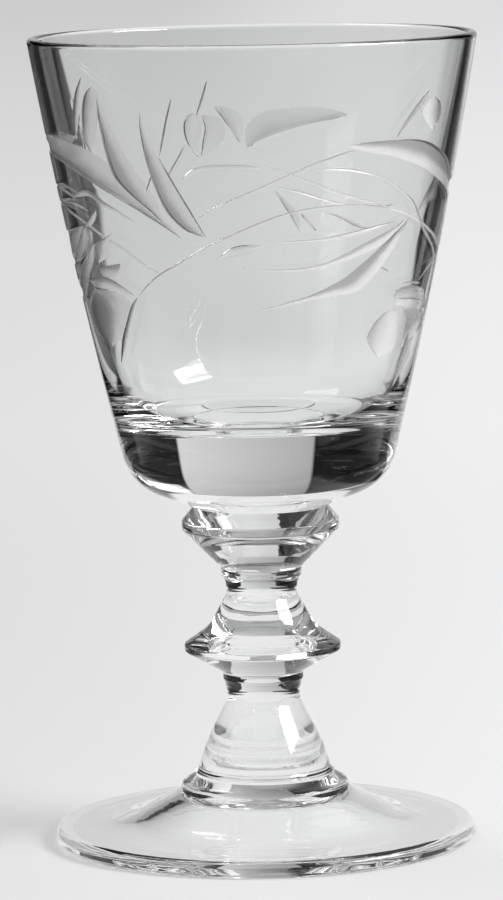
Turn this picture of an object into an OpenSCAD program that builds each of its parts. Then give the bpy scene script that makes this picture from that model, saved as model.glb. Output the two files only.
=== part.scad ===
// A small cordial glass with a heavy-based bowl, a stem of two knops and a
// bell, a wafer under the bell and a wide round foot.
// Every piece is turned about the upright axis and sits face to face on the
// piece below it. The origin is the middle of the circle the foot stands on.

/* [Bowl] */
// Outside diameter of the bowl at its lip
bowl_rim_d = 49.8; // [44:0.2:56]
// Height of the bowl from its seat to the top of its lip
bowl_h = 52.4; // [46:0.2:60]
// Diameter of the seat where the bowl joins the upper knop
bowl_seat_d = 15; // [13:0.2:16.6]
// Diameter where the lines of wall and underside would cross
bowl_base_d = 29; // [25:0.2:32]
// Height of that crossing above the seat
bowl_base_h = 2.9; // [2:0.1:4]
// Radius of the turn from the underside into the wall
bowl_turn_r = 6; // [3:0.1:8]
// How far the wall swells out over a straight taper
bowl_swell = 0.45; // [0:0.05:1]
// Height of the floor's rim above the seat, which is the solid base
bowl_floor_h = 9.5; // [6:0.1:12]
// How far the level middle of the floor rises over its rim
bowl_crown_h = 1.1; // [0.2:0.1:2]
// Diameter of that level middle
bowl_crown_d = 12.4; // [8:0.2:16]
// Radius of the turn from the floor into the wall inside
bowl_inner_r = 1; // [0.6:0.1:3]
// Wall thickness just above the floor
bowl_wall_low = 1.8; // [1.4:0.05:2.6]
// Wall thickness at the lip
bowl_wall_lip = 1.1; // [0.8:0.05:1.6]

/* [Upper knop] */
// Largest diameter of the upper knop
upper_d = 17.6; // [16.8:0.1:20]
// Height of the upper knop from its seat to the bowl
upper_h = 8.2; // [7:0.1:10]
// Diameter of the collar at the foot of the upper knop
upper_collar_d = 9; // [8.6:0.1:11]
// Height of that collar
upper_collar_h = 1.3; // [0.8:0.05:2]
// Height of the upper knop's rim
upper_rim_h = 0.95; // [0.6:0.05:1.4]
// Height of the slope from the rim in to the bowl's seat
upper_slope_h = 1.6; // [1.2:0.05:2.2]

/* [Lower knop] */
// Largest diameter of the lower knop
lower_d = 17.5; // [15:0.1:20]
// Height of the lower knop from its seat to the upper knop
lower_h = 11.7; // [10:0.1:14]
// Diameter of the collar at the foot of the lower knop
lower_collar_d = 9; // [8.6:0.1:11]
// Height of that collar
lower_collar_h = 1.25; // [0.8:0.05:2]
// Height of the slope from the collar out to the rim
lower_under_h = 2.4; // [1.8:0.05:3.2]
// Height of the lower knop's rim
lower_rim_h = 0.75; // [0.5:0.05:1.2]
// Height of the broad slope from the rim up to the hollow
lower_slope_h = 1.95; // [1.2:0.05:2.6]
// Diameter where the broad slope turns up into the neck's slope
lower_hollow_d = 11.8; // [10.4:0.1:13]
// Height of the neck's slope from there to the neck
lower_rise_h = 3.6; // [2.6:0.05:4.2]
// Diameter of the neck between the two knops at its narrowest
upper_neck_d = 8; // [6.6:0.1:8.4]
// Diameter of that neck where it meets the upper knop
upper_neck_seat_d = 8.4; // [7.6:0.1:8.6]

/* [Bell] */
// Diameter of the bell at its seat on the wafer
bell_d = 15.5; // [13.4:0.1:18]
// Height of the bell from the wafer to the lower knop
bell_h = 10.4; // [9:0.1:13]
// Height of the small bead round the bell's foot
bell_bead_h = 0.35; // [0.2:0.05:0.6]
// How far the bead stands out from the bell
bell_bead_w = 0.3; // [0.1:0.05:0.5]
// Diameter of the bell's waist, where it starts to draw in
bell_waist_d = 13.3; // [11.6:0.1:15]
// Height of the waist above the seat
bell_waist_h = 3.6; // [2.6:0.1:5]
// Height above the seat where the bell reaches its neck
bell_neck_h = 8.4; // [7.2:0.05:8.8]
// Diameter of the neck between the bell and the lower knop at its narrowest
lower_neck_d = 8.2; // [6.8:0.1:8.6]
// Diameter of that neck where it meets the lower knop
lower_neck_seat_d = 8.6; // [7.6:0.1:8.6]

/* [Wafer] */
// Diameter of the wafer where it sits on the foot
wafer_d = 19; // [18.2:0.1:23]
// Height of the wafer
wafer_h = 1.7; // [1:0.05:2.6]
// Radius of the wafer's rounded shoulder
wafer_shoulder_r = 1.1; // [0.3:0.05:1.4]

/* [Foot] */
// Largest diameter of the foot
foot_d = 47; // [42:0.5:54]
// Height of the foot at the wafer's seat
foot_h = 5.6; // [4.4:0.1:7]
// Thickness of the foot at its edge
foot_edge_h = 1.85; // [1.4:0.05:2.4]
// Diameter where the flat brim turns up into the dome
foot_dome_d = 32.4; // [28:0.2:36]
// How much higher the brim is at that turn than at the edge
foot_brim_rise = 0.3; // [0.1:0.05:0.6]
// Radius of the hollow turn from the brim into the dome
foot_hollow_r = 10; // [4:0.5:14]
// Width of the flat ring the foot stands on
foot_ring_w = 1.4; // [1:0.1:3]
// Thickness of the foot between the wafer and the hollow under the middle
foot_top_wall = 1.4; // [1:0.1:2.4]
// Radius of the turn at the top of that hollow
foot_under_r = 5; // [2:0.5:8]
// Diameter of the polished spot where the rod was broken off
pontil_d = 9; // [6:0.2:12]
// Depth of that spot
pontil_h = 0.3; // [0.1:0.05:0.5]

/* [Hidden] */

// Height of each seat above the table
wafer_seat_z = foot_h;
bell_seat_z = wafer_seat_z + wafer_h;
lower_seat_z = bell_seat_z + bell_h;
upper_seat_z = lower_seat_z + lower_h;
bowl_seat_z = upper_seat_z + upper_h;

// Colours of the clear glass, a little denser in the solid pieces
bowl_glass = [0.90, 0.92, 0.92, 0.45];
stem_glass = [0.84, 0.87, 0.87, 0.6];
foot_glass = [0.87, 0.90, 0.90, 0.55];

// Sides of a full turn
turn_sides = 96;
// Angle of one step on a rounded corner, and the fewest steps it takes
step_angle = 7;
least_steps = 4;
// Number of stretches in a wall line
wall_steps = 10;

// Share of the wall's height at which its line leaves the turn at the base
wall_start_share = 0.2;
// Radii of the knops' corners, as shares of the rim they round
rim_round_share = 0.5;
// Radii of the hollow corners, as shares of the neck or collar beside them
collar_round_share = 0.35;
hollow_round_share = 0.8;
neck_round_share = 0.6;
waist_round_share = 1;
// Height at which a neck opens out again, as a share of its own height
waist_up_share = 0.55;
// Radius of the bell's swell, as a share of its diameter
bell_swell_share = 1.7;
// Radii of the foot's two edge corners, as shares of its edge
foot_low_share = 0.3;
foot_top_share = 0.5;
// Place of the wafer's shoulder, as shares of its step out and of its height
shoulder_out_share = 0.9;
shoulder_up_share = 0.55;
// Most of a side that a rounded corner takes beside a sharp one, and beside
// another rounded one
sharp_side_share = 0.95;
round_side_share = 0.48;

// Value a share of the way from one value to another
function between(a, b, share) = a + (b - a) * share;

// Direction of a line as a vector one unit long
function direction(v) = v / norm(v);

// Signed turn from one angle to another, never more than half a circle
function signed_turn(a, b) = (b - a + 540) % 360 - 180;

// Length that a rounded corner may take of the side from b to a
function side_room(a, b) =
    norm([a[0] - b[0], a[1] - b[1]]) * (a[2] == 0 ? sharp_side_share : round_side_share);

// Points that round the corner b between a and c to the radius b[2], or to as
// much of it as the two sides have room for
function corner_arc(a, b, c) =
    let (
        p = [b[0], b[1]],
        back = [a[0], a[1]] - p,
        ahead = [c[0], c[1]] - p,
        u = direction(back),
        v = direction(ahead),
        half = acos(u * v) / 2,
        reach = min(b[2] / tan(half), side_room(a, b), side_room(c, b)),
        r = reach * tan(half),
        middle = p + direction(u + v) * r / sin(half),
        first = p + u * reach - middle,
        last = p + v * reach - middle,
        start = atan2(first[1], first[0]),
        sweep = signed_turn(start, atan2(last[1], last[0])),
        steps = max(least_steps, ceil(abs(sweep) / step_angle))
    )
    [for (i = [0 : steps]) middle + r * [cos(start + sweep * i / steps), sin(start + sweep * i / steps)]];

// Outline through corners given as [out, up, radius]
function rounded(corners) = [
    for (i = [0 : len(corners) - 1])
        each corners[i][2] == 0
            ? [[corners[i][0], corners[i][1]]]
            : corner_arc(corners[i - 1], corners[i], corners[i + 1])
];

// Point on the bowl's outer wall line, a share of the way up to the lip
function bowl_outside(share) = [
    between(bowl_base_d, bowl_rim_d, share) / 2 + 4 * bowl_swell * share * (1 - share),
    between(bowl_base_h, bowl_h, share)
];
function bowl_wall(share) = between(bowl_wall_low, bowl_wall_lip, share);

// Solid of a closed outline turned about the upright axis at a height z
module turned(outline, z) {
    translate([0, 0, z])
        rotate_extrude($fn = turn_sides)
            polygon(outline);
}

// Bowl: round-bottomed and flaring, its lower part a thick block of glass
module bowl() {
    floor_share = (bowl_floor_h - bowl_base_h) / (bowl_h - bowl_base_h);
    floor_r = bowl_outside(floor_share)[0] - bowl_wall(floor_share);
    wall_shares = [for (i = [0 : wall_steps - 1]) between(wall_start_share, 1, i / wall_steps)];
    inner_shares = [for (i = [0 : wall_steps - 1]) between(1, wall_start_share, (i + 1) / wall_steps)];
    crown_z = bowl_floor_h + bowl_crown_h;
    outline = rounded(concat(
        [[0, 0, 0], [bowl_seat_d / 2, 0, 0], [bowl_base_d / 2, bowl_base_h, bowl_turn_r]],
        [for (s = wall_shares) concat(bowl_outside(s), 0)],
        [[bowl_rim_d / 2, bowl_h, bowl_wall_lip / 2]],
        [[bowl_rim_d / 2 - bowl_wall_lip, bowl_h, bowl_wall_lip / 2]],
        [for (s = inner_shares) concat(bowl_outside(s) - [bowl_wall(s), 0], 0)],
        [[floor_r, bowl_floor_h, bowl_inner_r], [bowl_crown_d / 2, crown_z, 0], [0, crown_z, 0]]
    ));
    color(bowl_glass) turned(outline, bowl_seat_z);
}

// Upper knop: a collar, a hollow underside, a round rim and a short slope
module upper_knop() {
    rim_top = upper_h - upper_slope_h;
    rim_low = rim_top - upper_rim_h;
    rim_r = upper_rim_h * rim_round_share;
    under_r = upper_collar_d / 2 * hollow_round_share;
    color(stem_glass) turned(rounded([
        [0, 0, 0],
        [upper_neck_seat_d / 2, 0, 0],
        [upper_collar_d / 2, upper_collar_h * collar_round_share, upper_collar_h * collar_round_share],
        [upper_collar_d / 2, upper_collar_h, under_r],
        [upper_d / 2, rim_low, rim_r],
        [upper_d / 2, rim_top, rim_r],
        [bowl_seat_d / 2, upper_h, 0],
        [0, upper_h, 0]
    ]), upper_seat_z);
}

// Lower knop: a collar, a plain underside, a round rim and a hollow slope
// that draws in to the neck between the knops, which opens out again on top
module lower_knop() {
    rim_low = lower_collar_h + lower_under_h;
    rim_top = rim_low + lower_rim_h;
    hollow_z = rim_top + lower_slope_h;
    neck_z = hollow_z + lower_rise_h;
    rim_r = lower_rim_h * rim_round_share;
    color(stem_glass) turned(rounded([
        [0, 0, 0],
        [lower_neck_seat_d / 2, 0, 0],
        [lower_collar_d / 2, lower_collar_h * collar_round_share, lower_collar_h * collar_round_share],
        [lower_collar_d / 2, lower_collar_h, lower_collar_h * collar_round_share],
        [lower_d / 2, rim_low, rim_r],
        [lower_d / 2, rim_top, rim_r],
        [lower_hollow_d / 2, hollow_z, lower_hollow_d / 2 * hollow_round_share],
        [upper_neck_d / 2, neck_z, upper_neck_d / 2 * neck_round_share],
        [upper_neck_d / 2, between(neck_z, lower_h, waist_up_share), upper_neck_d / 2 * waist_round_share],
        [upper_neck_seat_d / 2, lower_h, 0],
        [0, lower_h, 0]
    ]), lower_seat_z);
}

// Bell: a small bead, a swelling skirt and a neck drawn up from it
module bell() {
    skirt_d = bell_d - 2 * bell_bead_w;
    color(stem_glass) turned(rounded([
        [0, 0, 0],
        [bell_d / 2, 0, 0],
        [bell_d / 2, bell_bead_h, bell_bead_h * rim_round_share],
        [skirt_d / 2, bell_bead_h + bell_bead_w, 0],
        [bell_waist_d / 2, bell_waist_h, bell_d * bell_swell_share],
        [lower_neck_d / 2, bell_neck_h, lower_neck_d / 2 * neck_round_share],
        [lower_neck_d / 2, between(bell_neck_h, bell_h, waist_up_share), lower_neck_d / 2 * waist_round_share],
        [lower_neck_seat_d / 2, bell_h, 0],
        [0, bell_h, 0]
    ]), bell_seat_z);
}

// Wafer: a round-shouldered disc that spreads the bell onto the foot
module wafer() {
    shoulder_d = between(bell_d, wafer_d, shoulder_out_share);
    shoulder_h = wafer_h * shoulder_up_share;
    color(stem_glass) turned(rounded([
        [0, 0, 0],
        [wafer_d / 2, 0, 0],
        [shoulder_d / 2, shoulder_h, wafer_shoulder_r],
        [bell_d / 2, wafer_h, 0],
        [0, wafer_h, 0]
    ]), wafer_seat_z);
}

// Foot: a thin round-edged brim that rises in a hollow curve to the wafer.
// Its underside follows the top at the thickness of the edge, up to a hollow
// with a polished spot, and it stands on a flat ring.
module foot() {
    brim_h = foot_edge_h + foot_brim_rise;
    ring_r = foot_d / 2 - foot_edge_h * foot_low_share;
    under_h = foot_h - foot_top_wall;
    // Rise of the dome for each unit out, and the two turns of the underside
    dome_rise = (foot_h - brim_h) / (foot_dome_d / 2 - wafer_d / 2);
    turn_r = foot_dome_d / 2 - foot_edge_h * tan(atan(dome_rise) / 2);
    top_r = turn_r - (under_h - foot_brim_rise) / dome_rise;
    color(foot_glass) turned(rounded([
        [0, under_h + pontil_h, 0],
        [pontil_d / 2, under_h, 0],
        [top_r, under_h, foot_under_r],
        [turn_r, foot_brim_rise, foot_hollow_r + foot_edge_h],
        [ring_r - foot_ring_w, 0, 0],
        [foot_d / 2, 0, foot_edge_h * foot_low_share],
        [foot_d / 2, foot_edge_h, foot_edge_h * foot_top_share],
        [foot_dome_d / 2, brim_h, foot_hollow_r],
        [wafer_d / 2, foot_h, 0],
        [0, foot_h, 0]
    ]), 0);
}

bowl();
upper_knop();
lower_knop();
bell();
wafer();
foot();
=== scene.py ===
"""A small cordial glass: six turned pieces of clear glass, with grey wheel-cut leaves on the bowl."""
import math

import bpy
from bpy.props import FloatProperty, FloatVectorProperty, IntProperty, PointerProperty
from mathutils import Matrix, Vector


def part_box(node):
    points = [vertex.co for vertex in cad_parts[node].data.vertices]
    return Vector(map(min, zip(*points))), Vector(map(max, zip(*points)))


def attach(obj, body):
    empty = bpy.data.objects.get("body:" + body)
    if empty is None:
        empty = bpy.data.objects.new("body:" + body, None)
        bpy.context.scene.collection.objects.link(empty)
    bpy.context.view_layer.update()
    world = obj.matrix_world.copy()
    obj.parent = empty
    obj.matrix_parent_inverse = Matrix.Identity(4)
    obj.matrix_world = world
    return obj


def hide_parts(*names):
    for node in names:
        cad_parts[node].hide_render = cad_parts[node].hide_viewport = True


bl_info = {
    "name": "Cordial Glass",
    "version": (1, 0, 0),
    "blender": (4, 5, 0),
    "location": "3D View > Sidebar > Cordial Glass",
    "description": "Turns, cuts and finishes a cordial glass, and lays out its table and lamps",
    "category": "Add Mesh",
}

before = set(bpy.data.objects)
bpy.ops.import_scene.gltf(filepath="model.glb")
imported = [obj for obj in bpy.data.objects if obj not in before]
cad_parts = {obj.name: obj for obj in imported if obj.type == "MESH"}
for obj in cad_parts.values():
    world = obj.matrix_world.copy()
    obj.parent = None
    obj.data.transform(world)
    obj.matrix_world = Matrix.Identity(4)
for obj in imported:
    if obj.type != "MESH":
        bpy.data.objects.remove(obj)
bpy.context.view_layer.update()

# The photograph's size in pixels, across and down
PHOTO_W, PHOTO_H = 503, 900


# Settings

def number(name, description, default, **kind):
    return FloatProperty(name=name, description=description, default=default, **kind)


def length(name, description, default):
    return number(name, description, default, min=0.0, unit="LENGTH", precision=5)


def share(name, description, default):
    return number(name, description, default, min=0.0, max=1.0, subtype="FACTOR")


def angle(name, description, degrees):
    return number(name, description, math.radians(degrees), unit="ROTATION")


def colour(name, description, default):
    return FloatVectorProperty(
        name=name, description=description, default=default, size=3, min=0.0, max=1.0, subtype="COLOR"
    )


class GlassTurning(bpy.types.PropertyGroup):
    """How finely the pieces are turned."""
    sides: IntProperty(name="Sides", description="Sides of a full turn", default=224, min=24)
    arc_step: angle("Arc step", "Turn taken by one step of a rounded corner", 5.0)
    line_step: length("Line step", "Longest stretch between two points of an outline", 0.0009)


class BowlSizes(bpy.types.PropertyGroup):
    """Sizes of the bowl."""
    rim_d: length("Lip diameter", "Outside diameter at the lip", 0.0498)
    seat_d: length("Seat diameter", "Diameter of the seat on the upper knop", 0.015)
    base_d: length("Base diameter", "Diameter where the lines of wall and underside would cross", 0.029)
    base_h: length("Base height", "Height of that crossing above the seat", 0.0029)
    turn_r: length("Turn radius", "Radius of the turn from the underside into the wall", 0.006)
    swell: length("Swell", "How far the wall swells out over a straight taper", 0.00045)
    floor_h: length("Floor height", "Height of the floor's rim above the seat", 0.0095)
    crown_h: length("Crown height", "How far the middle of the floor rises over its rim", 0.0005)
    ring_d: length("Ring diameter", "Diameter of the low ring round the middle of the floor", 0.0124)
    ring_h: length("Ring height", "Height of that ring", 0.0002)
    ring_w: length("Ring width", "Half the width of that ring", 0.00018)
    inner_r: length("Inner radius", "Radius of the turn from the floor into the wall inside", 0.001)
    heel_w: length("Heel width", "How much thicker the wall is where it meets the floor", 0.0022)
    heel_h: length("Heel height", "Height over which that thickness dies away", 0.0018)
    wall_low: length("Lower wall", "Wall thickness just above the floor", 0.0018)
    wall_lip: length("Lip wall", "Wall thickness at the lip", 0.0011)


class UpperKnopSizes(bpy.types.PropertyGroup):
    """Sizes of the upper knop."""
    knop_d: length("Diameter", "Largest diameter", 0.0176)
    collar_d: length("Collar diameter", "Diameter of the collar at its foot", 0.009)
    collar_h: length("Collar height", "Height of that collar", 0.0013)
    rim_h: length("Rim height", "Height of the rim", 0.00095)
    slope_h: length("Slope height", "Height of the slope from the rim in to the bowl's seat", 0.0016)


class LowerKnopSizes(bpy.types.PropertyGroup):
    """Sizes of the lower knop and of the neck above it."""
    knop_d: length("Diameter", "Largest diameter", 0.0175)
    collar_d: length("Collar diameter", "Diameter of the collar at its foot", 0.009)
    collar_h: length("Collar height", "Height of that collar", 0.00125)
    under_h: length("Underside height", "Height of the slope from the collar out to the rim", 0.0024)
    rim_h: length("Rim height", "Height of the rim", 0.00075)
    slope_h: length("Slope height", "Height of the broad slope from the rim up to the hollow", 0.00195)
    hollow_d: length("Hollow diameter", "Diameter where the broad slope turns up to the neck", 0.0118)
    rise_h: length("Rise height", "Height of the neck's slope from there to the neck", 0.0036)
    neck_d: length("Neck diameter", "Diameter of the neck between the two knops at its narrowest", 0.008)
    neck_seat_d: length("Neck seat diameter", "Diameter of the neck where it meets the upper knop", 0.0084)


class BellSizes(bpy.types.PropertyGroup):
    """Sizes of the bell."""
    bell_d: length("Diameter", "Diameter at its seat on the wafer", 0.0155)
    bead_h: length("Bead height", "Height of the small bead round its foot", 0.00035)
    bead_w: length("Bead width", "How far the bead stands out from the bell", 0.0003)
    waist_d: length("Waist diameter", "Diameter where the bell starts to draw in", 0.0133)
    waist_h: length("Waist height", "Height of the waist above the seat", 0.0036)
    neck_h: length("Neck height", "Height above the seat where the bell reaches its neck", 0.0084)
    neck_d: length("Neck diameter", "Diameter of the neck below the lower knop at its narrowest", 0.0082)
    neck_seat_d: length("Neck seat diameter", "Diameter of the neck where it meets the lower knop", 0.0086)


class WaferSizes(bpy.types.PropertyGroup):
    """Sizes of the wafer."""
    wafer_d: length("Diameter", "Diameter where the wafer sits on the foot", 0.019)
    shoulder_r: length("Shoulder radius", "Radius of its rounded shoulder", 0.0011)


class FootSizes(bpy.types.PropertyGroup):
    """Sizes of the foot."""
    foot_d: length("Diameter", "Largest diameter", 0.047)
    edge_h: length("Edge height", "Thickness at the edge", 0.00185)
    dome_d: length("Dome diameter", "Diameter where the flat brim turns up into the dome", 0.0324)
    brim_h: length("Brim height", "Height of the foot at that turn", 0.00215)
    hollow_r: length("Hollow radius", "Radius of the hollow turn from the brim into the dome", 0.01)
    ring_w: length("Ring width", "Width of the flat ring it stands on", 0.0014)
    under_h: length("Underside height", "Height of the hollow under the middle", 0.0042)
    under_r: length("Underside radius", "Radius of the turn at the top of that hollow", 0.005)
    pontil_d: length("Spot diameter", "Diameter of the polished spot underneath", 0.009)
    pontil_h: length("Spot depth", "Depth of that spot", 0.0003)


class GlassFinish(bpy.types.PropertyGroup):
    """Colours and finish of the glass."""
    clear: colour("Clear glass", "Colour of the clear glass", (0.985, 0.99, 0.99))
    clear_dense: colour("Denser streaks", "Colour where the glass is a little denser", (0.965, 0.975, 0.975))
    cut_pale: colour("Shallow cut", "Colour of the ground surface where a cut is shallow", (0.86, 0.86, 0.86))
    # The deep cut's grey is painted shade on the ground glass; the shallow cut's pale is the ground glass's own
    # colour
    cut_painted_shade: colour("Deep cut", "Colour of the ground surface where a cut is deep", (0.36, 0.36, 0.36))


class StageLook(bpy.types.PropertyGroup):
    """Table, surroundings and lamps."""
    table: number("Table", "Brightness of the table beside the glass, where 1 is white", 0.86)
    # The fall away and the lean are painted falloff of the light across the table
    table_painted_fall: number("Fall away", "How much darker the table is a metre further back", 0.081)
    table_painted_lean: number("Lean", "How much brighter the table is at the glass's right than at its left", 0.12)
    glow: share("Glow", "Share of the table's brightness near the glass that isn't from the lamps", 0.35)
    far_glow: share("Far glow", "The same share far from the glass and as the glass sees it", 0.95)
    room: number("Room light", "Brightness of the light from all round", 0.35)
    camera_sky: number("Sky", "Brightness of what the camera sees past the table", 0.66)


class Viewpoint(bpy.types.PropertyGroup):
    """Place and turn of the camera."""
    distance: length("Distance", "Distance in front of the glass's axis", 0.57644)
    height: length("Height", "Height above the table", 0.11809)
    down: angle("Down", "How far it looks down", 7.3475)
    tilt: angle("Tilt", "How far it is turned about its own line of sight", -1.0557)
    aside: angle("Aside", "How far it looks aside", -0.0849)
    focal: number("Focal length", "Focal length in pixels of the photograph", 5220.8)


SETTINGS = {
    "glass_turning": GlassTurning,
    "glass_bowl": BowlSizes,
    "glass_upper_knop": UpperKnopSizes,
    "glass_lower_knop": LowerKnopSizes,
    "glass_bell": BellSizes,
    "glass_wafer": WaferSizes,
    "glass_foot": FootSizes,
    "glass_finish": GlassFinish,
    "glass_stage": StageLook,
    "glass_viewpoint": Viewpoint,
}


# Outlines, drawn beside the axis as places out and up

# Shares of a side that a rounded corner may take beside a sharp and a rounded one
SHARP_SIDE, ROUND_SIDE = 0.95, 0.48
# Radii of small corners, as shares of the rim, collar or neck beside them
RIM_ROUND, COLLAR_ROUND, HOLLOW_ROUND, NECK_ROUND, WAIST_ROUND = 0.5, 0.35, 0.8, 0.6, 1.0
# Height at which a neck opens out again, as a share of its own height
WAIST_UP = 0.55
# Radius of the bell's swell, as a share of its diameter, and of the foot's edge, as shares of its thickness
BELL_SWELL, FOOT_LOW_ROUND, FOOT_TOP_ROUND = 1.7, 0.3, 0.5
# Place of the wafer's shoulder between bell and wafer, and up its height
SHOULDER_OUT, SHOULDER_UP = 0.9, 0.55
# Share of the wall's height at which its line leaves the turn at the base
WALL_START = 0.2
# Steps of the wall, the heel and the floor's ring, and the heights or half widths that heel and ring reach
WALL_STEPS, HEEL_STEPS, RING_STEPS = 60, 36, 16
HEEL_REACH, RING_REACH = 4, 2.4
# Points closer than this are one
SAME = 1e-7


def between(a, b, at):
    return a + (b - a) * at


def side_room(side, corner):
    long = (Vector(side[:2]) - Vector(corner[:2])).length
    return long * (SHARP_SIDE if side[2] == 0 else ROUND_SIDE)


def corner_arc(a, b, c, step):
    """Points that round the corner b between a and c."""
    tip = Vector(b[:2])
    back, ahead = (Vector(a[:2]) - tip).normalized(), (Vector(c[:2]) - tip).normalized()
    half = back.angle(ahead) / 2
    reach = min(b[2] / math.tan(half), side_room(a, b), side_room(c, b))
    radius = reach * math.tan(half)
    middle = tip + (back + ahead).normalized() * radius / math.sin(half)
    first, last = tip + back * reach - middle, tip + ahead * reach - middle
    start = math.atan2(first.y, first.x)
    sweep = (math.atan2(last.y, last.x) - start + 3 * math.pi) % (2 * math.pi) - math.pi
    steps = max(4, math.ceil(abs(sweep) / step))
    turns = [start + sweep * i / steps for i in range(steps + 1)]
    return [middle + radius * Vector((math.cos(t), math.sin(t))) for t in turns]


def rounded(corners, turning):
    """The outline through corners given as out, up and radius, with no long stretch left in it."""
    points = []
    for i, b in enumerate(corners):
        if b[2] == 0:
            points.append(Vector(b[:2]))
        else:
            points += corner_arc(corners[i - 1], b, corners[i + 1], turning.arc_step)
    even = [points[0]]
    for a, b in zip(points, points[1:]):
        if (b - a).length < SAME:
            continue
        pieces = max(1, math.ceil((b - a).length / turning.line_step))
        even += [a.lerp(b, (i + 1) / pieces) for i in range(pieces)]
    return even


def wall_out(bowl, at):
    """Radius of the outer wall, a share of the way up to the lip."""
    return between(bowl.base_d, bowl.rim_d, at) / 2 + 4 * bowl.swell * at * (1 - at)


def wall_r(bowl, seat_z, height, z):
    """Radius of the outer wall at a height above the table."""
    return wall_out(bowl, (z - seat_z - bowl.base_h) / (height - bowl.base_h))


def bowl_outline(s, height):
    bowl = s.glass_bowl

    def outside(at):
        return wall_out(bowl, at), between(bowl.base_h, height, at), 0

    def inside(at):
        out, up, _ = outside(at)
        wall = between(bowl.wall_low, bowl.wall_lip, at)
        return out - wall - bowl.heel_w * math.exp((bowl.floor_h - up) / bowl.heel_h), up, 0

    floor_at = (bowl.floor_h - bowl.base_h) / (height - bowl.base_h)
    floor_r = inside(floor_at)[0]
    dish_r = floor_r - bowl.inner_r
    heel_top = floor_at + HEEL_REACH * bowl.heel_h / height
    heel_at = [between(heel_top, floor_at, i / HEEL_STEPS) for i in range(HEEL_STEPS)]
    rising = [between(WALL_START, 1, i / WALL_STEPS) for i in range(WALL_STEPS)]
    across_ring = [between(RING_REACH, -RING_REACH, i / RING_STEPS) for i in range(RING_STEPS + 1)]
    lip_r, ring_r = bowl.rim_d / 2, bowl.ring_d / 2

    def floor(out):
        ring = math.exp(-(((out - ring_r) / bowl.ring_w) ** 2))
        rise = bowl.crown_h * min((dish_r - out) / (dish_r - ring_r), 1)
        return out, bowl.floor_h + rise + bowl.ring_h * ring, 0

    return (
        [(0, 0, 0), (bowl.seat_d / 2, 0, 0), (bowl.base_d / 2, bowl.base_h, bowl.turn_r)]
        + [outside(at) for at in rising]
        + [(lip_r, height, bowl.wall_lip / 2), (lip_r - bowl.wall_lip, height, bowl.wall_lip / 2)]
        + [inside(at) for at in reversed(rising) if at > heel_at[0]]
        + [inside(at) for at in heel_at]
        + [(floor_r, bowl.floor_h, bowl.inner_r)]
        + [floor(out) for out in [dish_r] + [ring_r + bowl.ring_w * at for at in across_ring] + [0]]
    )


def collar(knop, neck_d):
    """A knop's seat and the lower edge of the collar at its foot."""
    round_r = knop.collar_h * COLLAR_ROUND
    return [(0, 0, 0), (neck_d / 2, 0, 0), (knop.collar_d / 2, round_r, round_r)]


def rim(knop, low):
    """The two edges of a knop's rim."""
    round_r = knop.rim_h * RIM_ROUND
    return [(knop.knop_d / 2, low, round_r), (knop.knop_d / 2, low + knop.rim_h, round_r)]


def neck(piece, low, height):
    """A neck that opens out again to its seat at the top."""
    neck_r = piece.neck_d / 2
    return [
        (neck_r, low, neck_r * NECK_ROUND),
        (neck_r, between(low, height, WAIST_UP), neck_r * WAIST_ROUND),
        (piece.neck_seat_d / 2, height, 0),
        (0, height, 0),
    ]


def upper_knop_outline(s, height):
    knop = s.glass_upper_knop
    return [
        *collar(knop, s.glass_lower_knop.neck_seat_d),
        (knop.collar_d / 2, knop.collar_h, knop.collar_d / 2 * HOLLOW_ROUND),
        *rim(knop, height - knop.slope_h - knop.rim_h),
        (s.glass_bowl.seat_d / 2, height, 0),
        (0, height, 0),
    ]


def lower_knop_outline(s, height):
    knop = s.glass_lower_knop
    rim_low = knop.collar_h + knop.under_h
    hollow_z = rim_low + knop.rim_h + knop.slope_h
    return [
        *collar(knop, s.glass_bell.neck_seat_d),
        (knop.collar_d / 2, knop.collar_h, knop.collar_h * COLLAR_ROUND),
        *rim(knop, rim_low),
        (knop.hollow_d / 2, hollow_z, knop.hollow_d / 2 * HOLLOW_ROUND),
        *neck(knop, hollow_z + knop.rise_h, height),
    ]


def bell_outline(s, height):
    bell = s.glass_bell
    return [
        (0, 0, 0),
        (bell.bell_d / 2, 0, 0),
        (bell.bell_d / 2, bell.bead_h, bell.bead_h * RIM_ROUND),
        (bell.bell_d / 2 - bell.bead_w, bell.bead_h + bell.bead_w, 0),
        (bell.waist_d / 2, bell.waist_h, bell.bell_d * BELL_SWELL),
        *neck(bell, bell.neck_h, height),
    ]


def wafer_outline(s, height):
    wafer, bell_d = s.glass_wafer, s.glass_bell.bell_d
    shoulder_d = between(bell_d, wafer.wafer_d, SHOULDER_OUT)
    return [
        (0, 0, 0),
        (wafer.wafer_d / 2, 0, 0),
        (shoulder_d / 2, height * SHOULDER_UP, wafer.shoulder_r),
        (bell_d / 2, height, 0),
        (0, height, 0),
    ]


def foot_outline(s, height):
    foot, wafer_d = s.glass_foot, s.glass_wafer.wafer_d
    ring_r = foot.foot_d / 2 - foot.edge_h * FOOT_LOW_ROUND
    # The underside follows the brim and the dome at the thickness of the edge
    rise = (height - foot.brim_h) / (foot.dome_d - wafer_d) * 2
    turn_r = foot.dome_d / 2 - foot.edge_h * math.tan(math.atan(rise) / 2)
    turn_z = foot.brim_h - foot.edge_h
    top_r = turn_r - (foot.under_h - turn_z) / rise
    return [
        (0, foot.under_h + foot.pontil_h, 0),
        (foot.pontil_d / 2, foot.under_h, 0),
        (top_r, foot.under_h, foot.under_r),
        (turn_r, turn_z, foot.hollow_r + foot.edge_h),
        (ring_r - foot.ring_w, 0, 0),
        (foot.foot_d / 2, 0, foot.edge_h * FOOT_LOW_ROUND),
        (foot.foot_d / 2, foot.edge_h, foot.edge_h * FOOT_TOP_ROUND),
        (foot.dome_d / 2, foot.brim_h, foot.hollow_r),
        (wafer_d / 2, height, 0),
        (0, height, 0),
    ]


# Turning and finishing

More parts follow.
